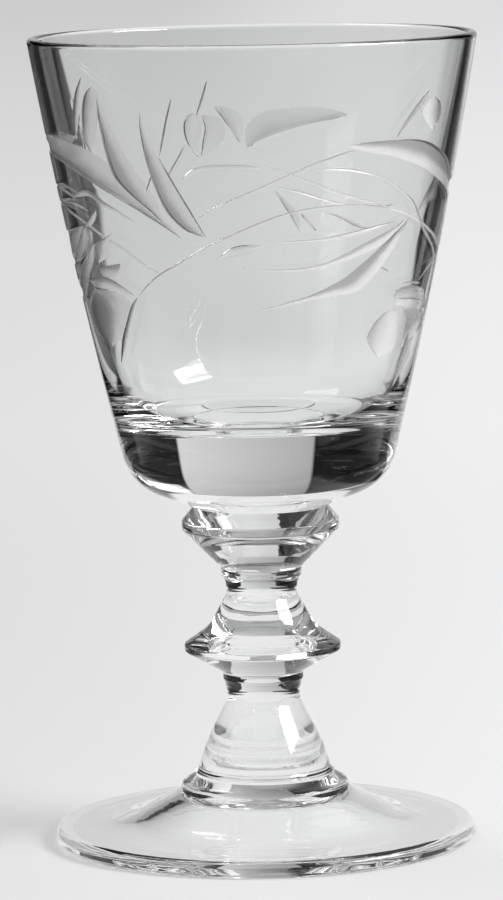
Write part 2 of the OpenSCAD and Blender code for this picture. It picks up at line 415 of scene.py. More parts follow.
# Doubles closer than this are merged, in a turned piece and in a cutter
MERGE, CUTTER_MERGE = 2e-6, 1e-6
# A face whose corners are this level is level, and corners sharper than this stay crisp
LEVEL, CRISP = 1e-6, math.radians(38)


def seat(node):
    """Height of a piece's seat above the table, and the piece's own height."""
    low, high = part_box(node)
    return low.z, high.z - low.z


def choose(piece):
    """Makes a piece the only one selected."""
    bpy.ops.object.select_all(action="DESELECT")
    piece.select_set(True)
    bpy.context.view_layer.objects.active = piece


def close_mesh(merge):
    """Merges the active mesh's doubles and turns its faces outward."""
    bpy.ops.object.mode_set(mode="EDIT")
    bpy.ops.mesh.select_all(action="SELECT")
    bpy.ops.mesh.remove_doubles(threshold=merge)
    bpy.ops.mesh.normals_make_consistent(inside=False)
    bpy.ops.object.mode_set(mode="OBJECT")


def turned(node, glass, outline):
    """Draws an outline beside the axis point by point, spins it once round and gives it its glass."""
    turning = bpy.context.scene.glass_turning
    seat_z, height = seat(node)
    points = rounded(outline(bpy.context.scene, height), turning)
    bpy.ops.mesh.primitive_plane_add(size=0.001, location=(0, 0, 0))
    piece = bpy.context.object
    piece.name = piece.data.name = "glass_" + node
    bpy.ops.object.mode_set(mode="EDIT")
    bpy.ops.mesh.select_mode(type="VERT")
    bpy.ops.mesh.select_all(action="SELECT")
    bpy.ops.mesh.merge(type="CENTER")
    bpy.ops.transform.translate(value=(points[0].x, 0, points[0].y + seat_z))
    for a, b in zip(points, points[1:]):
        step = b - a
        bpy.ops.mesh.extrude_region_move(TRANSFORM_OT_translate={"value": (step.x, 0, step.y)})
    bpy.ops.object.mode_set(mode="OBJECT")
    lathe = piece.modifiers.new("full_turn", "SCREW")
    lathe.axis, lathe.angle = "Z", 2 * math.pi
    lathe.steps = lathe.render_steps = turning.sides
    lathe.use_merge_vertices, lathe.merge_threshold = True, MERGE
    bpy.ops.object.modifier_apply(modifier=lathe.name)
    close_mesh(MERGE)
    for name in (glass, WELD):
        piece.data.materials.append(glass_of(name))
    return piece


def sharpen_border(piece, slot_index):
    """Keeps the border of one material's faces crisp."""
    piece.active_material_index = slot_index
    bpy.ops.object.mode_set(mode="EDIT")
    bpy.ops.mesh.select_mode(type="FACE")
    bpy.ops.mesh.select_all(action="DESELECT")
    bpy.ops.object.material_slot_select()
    bpy.ops.mesh.region_to_loop()
    bpy.ops.mesh.mark_sharp()
    bpy.ops.object.mode_set(mode="OBJECT")


def finish(piece, node, welds):
    """Marks a piece's welds, given as shares of its height, and gives it its place in the frame."""
    seat_z, height = seat(node)
    seats = [seat_z + at * height for at in welds]
    for face in piece.data.polygons:
        z = face.center.z
        level = all(abs(piece.data.vertices[v].co.z - z) < LEVEL for v in face.vertices)
        if level and any(abs(z - seat_at) < LEVEL for seat_at in seats):
            face.material_index = 1
    choose(piece)
    for slot_index in range(1, len(piece.data.materials)):
        sharpen_border(piece, slot_index)
    bpy.ops.object.shade_smooth_by_angle(angle=CRISP)
    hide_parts(node)
    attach(piece, "root")
    return {"FINISHED"}


# Wheel cuts

# Their edges are pixels of the photograph, laid on the outside of the bowl's near or far wall
NEAR, FAR = -1, 1

# Leaves and petals: wall, depth in millimetres, the crisp edge from tip to tip, and the points between the same
# tips of the edge that fades out
LEAVES = {
    "broad_left_leaf": (NEAR, 0.18,
        [(24, 140), (36, 147), (48, 151), (59, 160), (72, 169), (91, 182), (103, 190), (125, 203), (156, 222),
        (182, 239)],
        [(36, 138), (47, 137), (59, 139), (72, 144), (90, 151), (107, 163), (128, 181), (154, 208)]),
    "tall_leaf": (NEAR, 0.26,
        [(96, 97), (97, 112), (100, 130), (104, 148), (109, 165), (115, 179), (131, 196), (146, 208),
        (166, 226)], [(103, 110), (114, 136), (126, 158), (137, 176), (148, 191), (156, 203), (160, 214)]),
    "slim_leaf": (NEAR, 0.22,
        [(140, 111), (139, 124), (142, 145), (148, 169), (156, 191), (164, 208), (174, 221), (188, 232),
        (204, 237)], [(142, 122), (149, 141), (158, 158), (167, 175), (176, 191), (187, 209), (197, 226)]),
    "upper_left_leaf": (NEAR, 0.2, [(81, 76), (75, 92), (73, 108), (73, 124), (76, 142)],
        [(81, 92), (80, 108), (78, 124)]),
    "left_bud": (NEAR, 0.16, [(92, 86), (85, 93), (82, 106), (82, 124), (84, 141), (92, 154)],
        [(98, 95), (99, 108), (97, 124), (95, 141)]),
    "left_arc_leaf": (NEAR, 0.14,
        [(72, 197), (78, 192), (85, 190), (92, 193), (103, 201), (117, 210), (136, 223)],
        [(79, 197), (86, 196), (92, 198), (102, 206), (116, 213)]),
    "left_thorn": (NEAR, 0.16, [(96, 210), (92, 214), (88, 220), (84, 228)], [(96, 217), (92, 225)]),
    "side_petal_left": (NEAR, 0.12, [(58, 236), (64, 232), (72, 229), (83, 226)], [(66, 252), (73, 258)]),
    "side_petal_right": (NEAR, 0.16, [(84, 227), (80, 238), (76, 250), (71, 268)], [(88, 236), (84, 252)]),
    "side_leaf": (NEAR, 0.22, [(94, 243), (86, 257), (80, 272), (79, 284), (81, 295), (87, 303)],
        [(94, 258), (90, 272), (88, 284), (87, 295)]),
    "spear_leaf": (NEAR, 0.22, [(113, 233), (103, 239), (94, 245), (95, 254), (98, 264)],
        [(109, 241), (108, 250), (107, 257)]),
    "cup_left": (NEAR, 0.2, [(99, 268), (107, 266), (119, 264), (120, 266)], [(103, 276), (115, 281)]),
    "petal_left": (NEAR, 0.2, [(89, 280), (97, 277), (106, 277), (118, 283), (135, 296)],
        [(96, 287), (106, 289), (118, 292)]),
    "flower_left": (NEAR, 0.28, [(94, 289), (90, 302), (92, 317), (97, 331), (104, 341), (113, 347)],
        [(114, 293), (126, 304), (127, 320), (122, 335)]),
    "bud_leaf_left": (NEAR, 0.26, [(138, 297), (131, 306), (126, 323), (122, 341), (121, 364)],
        [(136, 309), (131, 330), (126, 349)]),
    "broad_right_leaf": (NEAR, 0.42,
        [(349, 147), (363, 143), (380, 141), (396, 140), (413, 139), (427, 141), (438, 147), (447, 157),
        (452, 176), (462, 214)],
        [(362, 151), (378, 154), (394, 157), (410, 162), (424, 168), (436, 177), (446, 187), (450, 203)]),
    "right_narrow_leaf": (NEAR, 0.18, [(431, 87), (417, 105), (406, 121), (396, 139)],
        [(422, 106), (410, 122)]),
    "right_bud": (NEAR, 0.16, [(434, 96), (440, 101), (442, 109), (440, 118), (433, 131)],
        [(427, 103), (424, 112), (426, 122)]),
    "crescent_top": (NEAR, 0.2, [(262, 241), (292, 241), (317, 239), (340, 235), (364, 229), (396, 221)],
        [(292, 242.5), (318, 241), (342, 238), (367, 232)]),
    "crescent_middle": (NEAR, 0.2,
        [(237, 266), (261, 269), (287, 269), (314, 266), (339, 257), (363, 244), (386, 232), (409, 217)],
        [(261, 271), (288, 272), (317, 269), (345, 261), (372, 250), (393, 236)]),
    "crescent_low": (NEAR, 0.32,
        [(253, 311), (272, 307), (292, 301), (309, 296), (326, 288), (343, 279), (358, 267), (372, 255),
        (386, 242), (410, 216)],
        [(273, 309), (294, 304), (312, 300), (332, 296), (356, 291), (374, 275), (388, 256), (401, 235)]),
    "crescent_small": (NEAR, 0.14, [(322, 211), (338, 217), (352, 225), (364, 229), (376, 228)],
        [(340, 216), (356, 222), (366, 226)]),
    "swept_leaf": (NEAR, 0.16, [(272, 186), (296, 190), (315, 196), (331, 201), (346, 204), (369, 205)],
        [(297, 193), (317, 199), (333, 203), (347, 205.5)]),
    "mirror_cup": (NEAR, 0.13, [(396, 305), (394, 296), (400, 288), (412, 285), (424, 288)],
        [(404, 306), (414, 306), (423, 303)]),
    "mirror_bell_left": (NEAR, 0.13, [(397, 307), (383, 314), (372, 326), (367, 342), (378, 358)],
        [(397, 322), (394, 336), (389, 350)]),
    "mirror_bell_right": (NEAR, 0.13, [(402, 307), (406, 320), (404, 335), (398, 350)],
        [(420, 312), (417, 330)]),
    "mirror_leaf": (NEAR, 0.2, [(409, 330), (403, 346), (397, 364), (392, 388)], [(410, 348), (404, 366)]),
    "far_leaf": (FAR, 0.13,
        [(246, 150), (259, 145), (277, 138), (296, 132), (314, 127), (331, 123), (353, 117)],
        [(245, 131), (262, 115), (290, 111), (318, 110), (336, 112)]),
    "far_petal_left": (FAR, 0.09, [(199, 117), (188, 116), (182, 122), (181, 134), (186, 148), (198, 162)],
        [(200, 124), (199, 132), (197, 141), (196, 150)]),
    "far_petal_middle": (FAR, 0.08, [(199, 117), (203, 130), (201, 142), (199, 160)],
        [(218, 122), (222, 142)]),
    "far_petal_right": (FAR, 0.12, [(212, 109), (220, 119), (229, 132), (241, 147)],
        [(226, 110), (242, 122)]),
    "far_band": (FAR, 0.16, [(177, 183), (189, 172), (205, 168), (228, 167), (250, 168), (263, 171)],
        [(192, 177), (207, 174), (229, 173), (250, 173)]),
    "far_lens": (FAR, 0.16, [(214, 262), (228, 251), (244, 247), (268, 248)], [(230, 259), (248, 256)]),
    "far_cross": (FAR, 0.1, [(274, 191), (284, 206), (293, 219), (303, 236)], [(290, 205), (301, 217)]),
}

# Stems and other thin strokes: wall, depth in millimetres, width in pixels and the line they follow
STROKES = {
    "main_stem": (NEAR, 0.09, 2.2,
        [(138, 297), (149, 284), (161, 274), (180, 263), (208, 246), (231, 236), (249, 228), (277, 217),
        (305, 210), (336, 206), (368, 205), (394, 209)]),
    "long_stem": (NEAR, 0.11, 2.6,
        [(264, 165), (289, 174), (317, 185), (339, 193), (363, 200), (378, 204), (394, 209), (410, 215),
        (422, 223), (432, 233), (438, 245), (435, 257), (427, 268), (418, 281)]),
    "crossing_stem": (NEAR, 0.08, 1.8,
        [(196, 220), (214, 208), (230, 201), (249, 193), (274, 182), (292, 174), (317, 163), (339, 155),
        (356, 150)]),
    "arched_stem": (NEAR, 0.09, 2.2,
        [(292, 174), (317, 170), (339, 169), (363, 172), (386, 179), (402, 190), (413, 201), (419, 216),
        (424, 230), (432, 246), (433, 259), (426, 270)]),
    "left_stem": (NEAR, 0.11, 2.4,
        [(50, 190), (64, 206), (84, 222), (103, 236), (125, 250), (143, 264), (161, 274)]),
    "left_stroke_high": (NEAR, 0.09, 2.6, [(54, 183), (64, 190), (75, 198)]),
    "left_stroke_low": (NEAR, 0.09, 2.6, [(60, 200), (72, 203), (88, 211)]),
    "slim_leaf_edge": (NEAR, 0.12, 2.0, [(158, 157), (167, 173), (177, 190), (188, 208), (207, 240)]),
    "straight_1": (NEAR, 0.12, 2.2, [(171, 98), (167, 116), (163, 136), (159, 158)]),
    "straight_2": (NEAR, 0.12, 2.2, [(185, 145), (178, 159), (168, 176)]),
    "straight_3": (NEAR, 0.12, 2.2, [(151, 176), (149, 184), (146, 192)]),
    "straight_4": (NEAR, 0.12, 2.4, [(207, 80), (202, 98), (196, 117)]),
    "hook": (NEAR, 0.08, 1.8, [(374, 203), (384, 206), (393, 204)]),
    "short_stroke_1": (NEAR, 0.09, 2.2, [(392, 236), (398, 227), (406, 218)]),
    "short_stroke_2": (NEAR, 0.09, 2.2, [(380, 267), (384, 269), (388, 271)]),
    "mirror_ring_1": (NEAR, 0.09, 2.4, [(403, 283), (411, 282), (421, 283)]),
    "mirror_ring_2": (NEAR, 0.09, 2.4, [(394, 291), (408, 290), (425, 292)]),
    "mirror_ring_3": (NEAR, 0.09, 2.2, [(395, 299), (409, 298), (426, 300)]),
    "far_streak": (FAR, 0.09, 3.0, [(303, 215), (311, 224), (320, 233)]),
}

# Shares of the width that a leaf's and a stroke's steep side takes, and at which the rest is drawn
LEAF_STEEP, LEAF_SHARES = 0.08, (0.2, 0.34, 0.5, 0.66, 0.82)
STROKE_STEEP, STROKE_SHARES = 0.4, (0.6, 0.8)
# How a cut's hollow bends across, and how its depth follows its width along
DROP_BEND, WIDTH_BEND = 1.5, 0.4
# Share of its width that a stroke has at its tips, how fast it grows from there, and the share of its length
# over which its way is taken
TIP_WIDTH, TIP_GROWTH, WAY_STEP = 0.15, 4, 0.01
# A cutter's stretches along a leaf or stroke for each millimetre, and how far it stands out of the glass
STATIONS_PER_MM, LEAST_STATIONS = 1.6, 10
CUTTER_OUT = 0.0006
# How a pixel's place is found: tries, the share of each step that is taken, and the step that gives the slope
PLACE_TRIES, PLACE_PULL, WALL_STEP = 12, 0.8, 0.0005


def curve_point(points, at):
    """A point on the smooth curve through a list of pixels, a share of the way along the list."""
    place = at * (len(points) - 1)
    i = min(int(place), len(points) - 2)
    u = place - i
    before, a, b, after = (Vector(points[min(max(i + k, 0), len(points) - 1)]) for k in (-1, 0, 1, 2))
    second, third = 2 * before - 5 * a + 4 * b - after, 3 * a - before - 3 * b + after
    return (2 * a + (b - before) * u + second * u ** 2 + third * u ** 3) / 2


def view_axes(view):
    """The camera's place and its directions to the right, up and ahead."""
    cd, sd, ca, sa = math.cos(view.down), math.sin(view.down), math.cos(view.aside), math.sin(view.aside)
    right, up, ahead = Vector((ca, -sa, 0)), Vector((sd * sa, sd * ca, cd)), Vector((cd * sa, cd * ca, -sd))
    ct, st = math.cos(view.tilt), math.sin(view.tilt)
    return Vector((0, -view.distance, view.height)), ct * right + st * up, ct * up - st * right, ahead


class BowlSkin:
    """The outside of the bowl's wall, on which a pixel of the photograph finds its place."""

    def __init__(self, scene, seat_z, height):
        self.bowl, self.seat_z, self.height = scene.glass_bowl, seat_z, height
        self.eye, self.right, self.up, self.ahead = view_axes(scene.glass_viewpoint)
        self.focal = scene.glass_viewpoint.focal

    def wall_r(self, z):
        return wall_r(self.bowl, self.seat_z, self.height, z)

    def place(self, pixel, wall):
        """Point on the wall and the way out of it. A pixel past the outline's edge goes on round the side."""
        across, down = pixel[0] - PHOTO_W / 2, pixel[1] - PHOTO_H / 2
        way = (self.ahead * self.focal + self.right * across - self.up * down).normalized()
        z = self.seat_z + self.height / 2
        for _ in range(PLACE_TRIES):
            flat = way.x ** 2 + way.y ** 2
            half = self.eye.x * way.x + self.eye.y * way.y
            room = half ** 2 - flat * (self.eye.x ** 2 + self.eye.y ** 2 - self.wall_r(z) ** 2)
            far = (-half + wall * math.copysign(math.sqrt(abs(room)), room)) / flat
            z = between(z, self.eye.z + way.z * far, PLACE_PULL)
        spot = self.eye + way * far
        rise = (self.wall_r(z + WALL_STEP) - self.wall_r(z - WALL_STEP)) / (2 * WALL_STEP)
        around = Vector((spot.x, spot.y, 0)).normalized()
        return around * self.wall_r(z) + Vector((0, 0, z)), (around - Vector((0, 0, rise))).normalized()


def cutter(name, sections):
    """A closed tube through rings of points, each end drawn together into one point."""
    rows, round_count = len(sections), len(sections[0])
    bpy.ops.mesh.primitive_grid_add(x_subdivisions=round_count, y_subdivisions=rows - 1, location=(0, 0, 0))
    tube = bpy.context.object
    tube.name = name
    for i, vertex in enumerate(tube.data.vertices):
        row, turn = divmod(i, round_count + 1)
        vertex.co = sections[row][turn % round_count]
    close_mesh(CUTTER_MERGE)
    return tube


def section(skin, wall, crisp, soft, depth, steep, shares):
    """One ring of a cutter, from above the crisp edge down into the glass and out past the soft edge."""
    last = shares[-1]

    def drop(at):
        return depth * ((1 - at) / (1 - steep)) ** DROP_BEND

    spots = [(-0.5 * steep, -0.5 * depth), (steep, depth)]
    spots += [(at, drop(at)) for at in shares]
    spots.append((2 - last, -drop(last)))
    ring = []
    for at, down in spots:
        spot, out = skin.place(crisp.lerp(soft, at), wall)
        ring.append(spot - out * down)
    for at in (spots[-1][0], spots[0][0]):
        spot, out = skin.place(crisp.lerp(soft, at), wall)
        ring.append(spot + out * (CUTTER_OUT + depth))
    return ring


def edge_cutter(skin, name, wall, depth_mm, crisp, soft, steep, shares):
    """A cutter between two edges, deepest where they are widest apart."""
    spots = [skin.place(p, wall)[0] for p in crisp]
    long = sum((b - a).length for a, b in zip(spots, spots[1:]))
    stations = max(LEAST_STATIONS, round(long * 1000 * STATIONS_PER_MM))
    marks = [(i + 0.5) / stations for i in range(stations)]
    pairs = [(curve_point(crisp, at), curve_point(soft, at)) for at in marks]
    widths = [(skin.place(a, wall)[0] - skin.place(b, wall)[0]).length for a, b in pairs]
    rings = [
        section(skin, wall, a, b, depth_mm / 1000 * (wide / max(widths)) ** WIDTH_BEND, steep, shares)
        for (a, b), wide in zip(pairs, widths)
    ]
    for at, where in ((0, 0), (1, len(rings) + 1)):
        spot, out = skin.place(curve_point(crisp, at).lerp(curve_point(soft, at), 0.5), wall)
        rings.insert(where, [spot + out * CUTTER_OUT] * len(rings[0]))
    return cutter(name, rings)


def leaf_cutter(skin, name, wall, depth_mm, crisp, between_tips):
    soft = [crisp[0], *between_tips, crisp[-1]]
    return edge_cutter(skin, name, wall, depth_mm, crisp, soft, LEAF_STEEP, LEAF_SHARES)


def stroke_cutter(skin, name, wall, depth_mm, width, path):
    count = 2 * len(path) - 1
    crisp, soft = [], []
    for i in range(count):
        at = i / (count - 1)
        here = curve_point(path, at)
        along = curve_point(path, min(at + WAY_STEP, 1)) - curve_point(path, max(at - WAY_STEP, 0))
        half = width / 2 * min(1, TIP_WIDTH + TIP_GROWTH * min(at, 1 - at))
        aside = Vector((-along.y, along.x)).normalized() * half
        crisp.append(here + aside)
        soft.append(here - aside)
    return edge_cutter(skin, name, wall, depth_mm, crisp, soft, STROKE_STEEP, STROKE_SHARES)


def carve(piece, tool, operation):
    """Joins a tool to a piece or takes it away from it."""
    choose(piece)
    take = piece.modifiers.new("carve", "BOOLEAN")
    take.operation, take.solver, take.material_mode = operation, "MANIFOLD", "TRANSFER"
    take.object = tool
    bpy.ops.object.modifier_apply(modifier=take.name)
    bpy.data.objects.remove(tool)


def cut_leaves(piece, skin):
    """Cuts every leaf and stroke out of the bowl."""
    tools = [leaf_cutter(skin, name, *leaf) for name, leaf in LEAVES.items()]
    tools += [stroke_cutter(skin, name, *stroke) for name, stroke in STROKES.items()]
    for tool, cut in zip(tools, [*LEAVES.values(), *STROKES.values()]):
        tool.data.materials.append(glass_of("grey_cut_glass" if cut[0] == NEAR else "light_cut_glass"))
    for tool in tools[1:]:
        carve(tools[0], tool, "UNION")
    carve(piece, tools[0], "DIFFERENCE")


# Shader sums

def both_ways(operation):
    """An operator of shades and its reflected form."""
    def plain(self, other):
        return self.sum(operation, self, other)

    def reflected(self, other):
        return self.sum(operation, other, self)

    return plain, reflected


def one_way(operation):
    """A sum of a shade that has no reflected form."""
    def plain(self, *others):
        return self.sum(operation, self, *others)

    return plain


class Shade:
    """A socket that takes part in sums, each of which adds its Math node."""

    def __init__(self, sheet, socket):
        self.sheet, self.socket = sheet, socket

    def sum(self, operation, *values):
        return self.sheet.add("Math", {"operation": operation}, dict(enumerate(values)))

    __add__, __radd__ = both_ways("ADD")
    __sub__, __rsub__ = both_ways("SUBTRACT")
    __mul__, __rmul__ = both_ways("MULTIPLY")
    __truediv__, __rtruediv__ = both_ways("DIVIDE")
    lowest, highest, bearing = one_way("MINIMUM"), one_way("MAXIMUM"), one_way("ARCTAN2")
    abs, root = one_way("ABSOLUTE"), one_way("SQRT")

    def ramp(self, low, high):
        """Nought below low, one above high and a soft rise between."""
        soft_rise = {"interpolation_type": "SMOOTHSTEP"}
        return self.sheet.add("MapRange", soft_rise, {0: self, 1: low, 2: high})

    def past(self, edge, soft):
        """One past an edge and nought before it, with a soft change this far to either side."""
        return self.ramp(edge - soft, edge + soft)


class Sheet:
    """A node tree that is written node by node."""

    def __init__(self, tree):
        self.tree = tree
        tree.nodes.clear()

    def node(self, kind, settings, sockets):
        """Adds any node: its type, then its settings, then its sockets."""
        node = self.tree.nodes.new("ShaderNode" + kind)
        for name, value in (settings or {}).items():
            setattr(node, name, value)
        for name, value in (sockets or {}).items():
            if isinstance(value, Shade):
                self.tree.links.new(value.socket, node.inputs[name])
            else:
                node.inputs[name].default_value = value
        return node

    def add(self, kind, settings=None, sockets=None, out=0):
        """Adds a node and gives one of its outputs."""
        return Shade(self, self.node(kind, settings, sockets).outputs[out])

    def all(self, kind, sockets=None):
        """Adds a node and gives all its outputs by name."""
        return {s.name: Shade(self, s) for s in self.node(kind, None, sockets).outputs}

    def close(self, surface, kind="OutputMaterial"):
        self.node(kind, None, {"Surface": surface})

    def mix(self, at, a, b):
        return self.add("Mix", {"data_type": "RGBA"}, {0: at, 6: (*a, 1), 7: (*b, 1)}, out=2)

    def grey(self, level):
        return self.add("CombineColor", None, {"Red": level, "Green": level, "Blue": level})

    def noise(self, place, scale, detail, roughness):
        sockets = {"Vector": place, "Scale": scale, "Detail": detail, "Roughness": roughness}
        return self.add("TexNoise", None, sockets)

    def place(self, coordinates="Object"):
        """The place as a vector, its three parts and how far it is from the upright axis."""
        place = self.all("TexCoord")[coordinates]
        parts = self.all("SeparateXYZ", {"Vector": place})
        x, y, z = parts["X"], parts["Y"], parts["Z"]
        return place, x, y, z, (x * x + y * y).root()

    def rays(self):
        """One on the camera's own rays, and one on the rays that come by way of glass."""
        path = self.all("LightPath")
        return path["Is Camera Ray"], (path["Is Glossy Ray"] + path["Is Transmission Ray"]).lowest(1.0)

    def glass(self, colour, rough, clear, bumps, strength, high):
        """Closes the sheet with glass, whose skin has bumps of a strength and a height."""
        relief = {"Strength": strength, "Distance": high, "Height": bumps}
        sockets = {
            "Base Color": colour,
            "Roughness": rough,
            "IOR": REFRACTION,
            "Transmission Weight": clear,
            "Normal": self.add("Bump", None, relief),
        }
        self.close(self.add("BsdfPrincipled", None, sockets))


def material_sheet(name):
    material = bpy.data.materials.new(name)
    material.use_nodes = True
    return Sheet(material.node_tree)


# Each clear glass's streaks and tool rings a metre, and the height of the rings' waves
CLEAR_GLASSES = {
    "bowl_clear_glass": (60.0, 90.0, 0.000002),
    "stem_clear_glass": (120.0, 420.0, 0.00007),
    "bell_clear_glass": (120.0, 420.0, 0.00003),
    "foot_clear_glass": (80.0, 400.0, 0.00003),
}
# How far the rings' waves run round in a metre, and how far they lean outward
ROUND_SCALE, RING_LEAN = 110.0, 0.6
# Each ground surface's roughness and how much of the light goes through
CUT_GLASSES = {"grey_cut_glass": (0.36, 0.66), "light_cut_glass": (0.12, 0.92)}
# Depths at which a cut's painted shade starts to grey it and is full, and how much patches shift that
CUT_SHALLOW, CUT_DEEP, CUT_PATCHES = 0.00001, 0.00018, 0.00006
# Share of its roughness that a shallow cut has, and noise at which a streak starts and is full
SHALLOW_ROUGH, STREAK_START, STREAK_FULL = 0.4, 0.35, 0.75
# Grain and patches a metre, and the height of the grain
GRAIN_SCALE, PATCH_SCALE, GRAIN_HEIGHT = 4500.0, 400.0, 0.00002
REFRACTION = 1.5
WELD = "welded_seat"


def clear_glass(name, look, streak_scale, ring_scale, wave):
    """Clear glass with faint streaks in its colour, and a skin that the tools left a little wavy in rings."""
    sheet = material_sheet(name)
    place, x, y, z, out = sheet.place()
    streaks = sheet.noise(place, streak_scale, detail=3.0, roughness=0.5).ramp(STREAK_START, STREAK_FULL)
    around = {"X": x * ROUND_SCALE, "Y": y * ROUND_SCALE, "Z": (z - out * RING_LEAN) * ring_scale}
    waves = sheet.noise(sheet.add("CombineXYZ", None, around), scale=1.0, detail=2.0, roughness=0.45)
    tint = sheet.mix(streaks, look.clear, look.clear_dense)
    sheet.glass(tint, rough=0.0, clear=1.0, bumps=waves, strength=1.0, high=wave)


def weld_glass(name):
    """Where two pieces are welded there is no surface left, so light goes straight on."""
    sheet = material_sheet(name)
    sheet.close(sheet.add("BsdfTransparent", None, {"Color": (1, 1, 1, 1)}))


def cut_glass(name, look, bowl, rough, clear):
    """The finely ground surface that the wheel leaves: pale where it is shallow, and grey with painted shade
    where it is deep.
    """
    sheet = material_sheet(name)
    place, _, _, z, out = sheet.place()
    patches = (sheet.noise(place, PATCH_SCALE, detail=3.0, roughness=0.5) - 0.5) * CUT_PATCHES
    # How deep the cut is here; it sets the roughness and the painted shade
    deep = (wall_r(bowl, *seat("bowl"), z) - out + patches).ramp(CUT_SHALLOW, CUT_DEEP)
    grain = sheet.noise(place, GRAIN_SCALE, detail=2.0, roughness=0.6)
    # Painted shade: the tint greys from the pale ground glass towards the deep cut's grey where the cut is
    # deeper
    tint = sheet.mix(deep, look.cut_pale, look.cut_painted_shade)
    rough *= between(SHALLOW_ROUGH, 1.0, deep)
    sheet.glass(tint, rough, clear, bumps=grain, strength=0.3, high=GRAIN_HEIGHT)


def glass_of(name):
    """The glass of a name, made when it is first asked for."""
    s = bpy.context.scene
    if name not in bpy.data.materials:
        if name in CLEAR_GLASSES:
            clear_glass(name, s.glass_finish, *CLEAR_GLASSES[name])
        elif name in CUT_GLASSES:
            cut_glass(name, s.glass_finish, s.glass_bowl, *CUT_GLASSES[name])
        else:
            weld_glass(name)
    return bpy.data.materials[name]


# Operators, one for each piece and one for the stage

class GLASS_OT_bowl(bpy.types.Operator):
    """Turn the bowl and cut its leaves"""
    bl_idname = "glass.bowl"
    bl_label = "Bowl"

    def execute(self, context):
        piece = turned("bowl", "bowl_clear_glass", bowl_outline)
        cut_leaves(piece, BowlSkin(context.scene, *seat("bowl")))
        return finish(piece, "bowl", [0])


class GLASS_OT_upper_knop(bpy.types.Operator):
    """Turn the upper knop"""
    bl_idname = "glass.upper_knop"
    bl_label = "Upper Knop"

    def execute(self, context):
        piece = turned("upper_knop", "stem_clear_glass", upper_knop_outline)
        return finish(piece, "upper_knop", [0, 1])


class GLASS_OT_lower_knop(bpy.types.Operator):
    """Turn the lower knop with the neck above it"""
    bl_idname = "glass.lower_knop"
    bl_label = "Lower Knop"

    def execute(self, context):
        piece = turned("lower_knop", "stem_clear_glass", lower_knop_outline)
        return finish(piece, "lower_knop", [0, 1])


class GLASS_OT_bell(bpy.types.Operator):
    """Turn the bell"""
    bl_idname = "glass.bell"
    bl_label = "Bell"

    def execute(self, context):
        piece = turned("bell", "bell_clear_glass", bell_outline)
        return finish(piece, "bell", [0, 1])


class GLASS_OT_wafer(bpy.types.Operator):
    """Turn the wafer under the bell"""
    bl_idname = "glass.wafer"
    bl_label = "Wafer"

    def execute(self, context):
        piece = turned("wafer", "stem_clear_glass", wafer_outline)
        return finish(piece, "wafer", [0, 1])


class GLASS_OT_foot(bpy.types.Operator):
    """Turn the foot"""
    bl_idname = "glass.foot"
    bl_label = "Foot"

    def execute(self, context):
        piece = turned("foot", "foot_clear_glass", foot_outline)
        return finish(piece, "foot", [1])


# The stage, in metres from the glass's axis and in degrees of bearing and height

# The strip of white paper that the glass stands on: its sides, its front and where the sides spread
PAPER_LEFT, PAPER_RIGHT, PAPER_FRONT = 0.097, 0.12, -0.031
LEFT_SPREAD_FROM, LEFT_SPREAD, RIGHT_SPREAD_FROM, RIGHT_SPREAD = 0.6, 0.17, 0.43, 0.6
# Half the width of its near part, where that ends, and where and how much the paper darkens behind it
NEAR_HALF, NEAR_END, DIM_FROM, DIM_TO, DIM = 0.04, 0.11, 0.25, 0.5, 0.14
# Bearing and distance past which the dark table beside the paper turns pale, and both their tones
OPEN_BEARING, OPEN_AWAY, OPEN_TONE, DARK_TONE = math.radians(61), 0.12, 0.75, 0.02
# How far the table's painted lean of light to the right and its own light near the glass reach
LEAN_REACH, OWN_FROM, OWN_TO = 0.06, 0.06, 0.4
TABLE_DARKEST, TABLE_PALEST, TABLE_SIZE = 0.55, 0.95, 12.0

# The paper's upright end between dark screens: its sides, how they spread towards the table and from what
# height down, and its tone at the middle with its change for each degree across and up
END_LEFT, END_RIGHT, LEFT_FLARE, RIGHT_FLARE, FLARE_TOP = -15.3, 24.5, 18.0, 6.0, 5.0
END_TONE, END_ACROSS, END_UP = 0.6, 0.0075, 0.008
# The screens, the ceiling over them and the room behind the camera
SCREEN_TONE, CEILING_FROM, CEILING_TO, CEILING_TONE = 0.003, 36.0, 50.0, 0.4
BEHIND_FROM, BEHIND_TONE = 82.0, 0.2
# A bright wall high at the right, and the faint light below it
WALL_FROM, WALL_TO, WALL_UP, WALL_TONE, WALL_LOW_TONE = 25.0, 75.0, 29.0, 0.9, 0.013

# Soft boxes: bearing, height, width and height of the box in metres, and power
SOFT_BOXES = {
    "left_soft_box": (-50, 56, 0.35, 0.35, 1.5),
    "right_soft_box": (110, 34, 0.5, 0.28, 7.2),
}
# How far from the glass they hang, and the height on its axis that they face
BOX_AWAY, BOX_AIM = 0.9, 0.04
# Times that a ray may bounce, so that it gets through all the welded glass
GLASS_BOUNCES, MIRROR_BOUNCES = 32, 12


def paper_mask(x, y, out):
    """One on the strip of white paper that the glass stands on, and nought beside it."""
    left = x + PAPER_LEFT + (y - LEFT_SPREAD_FROM).highest(0.0) * LEFT_SPREAD
    right = PAPER_RIGHT + (y - RIGHT_SPREAD_FROM).highest(0.0) * RIGHT_SPREAD - x
    near = y.past(NEAR_END, soft=0.01).highest((NEAR_HALF - x.abs()).past(0.0, soft=0.004))
    near *= y.past(PAPER_FRONT, soft=0.005)
    strip = left.past(0.0, soft=0.006) * right.past(0.0, soft=0.006) * near
    strip *= 1.0 - y.ramp(DIM_FROM, DIM_TO) * DIM
    around = x.bearing(y).abs().past(OPEN_BEARING, soft=0.05) * out.past(OPEN_AWAY, soft=0.015)
    return strip.highest(around * OPEN_TONE)


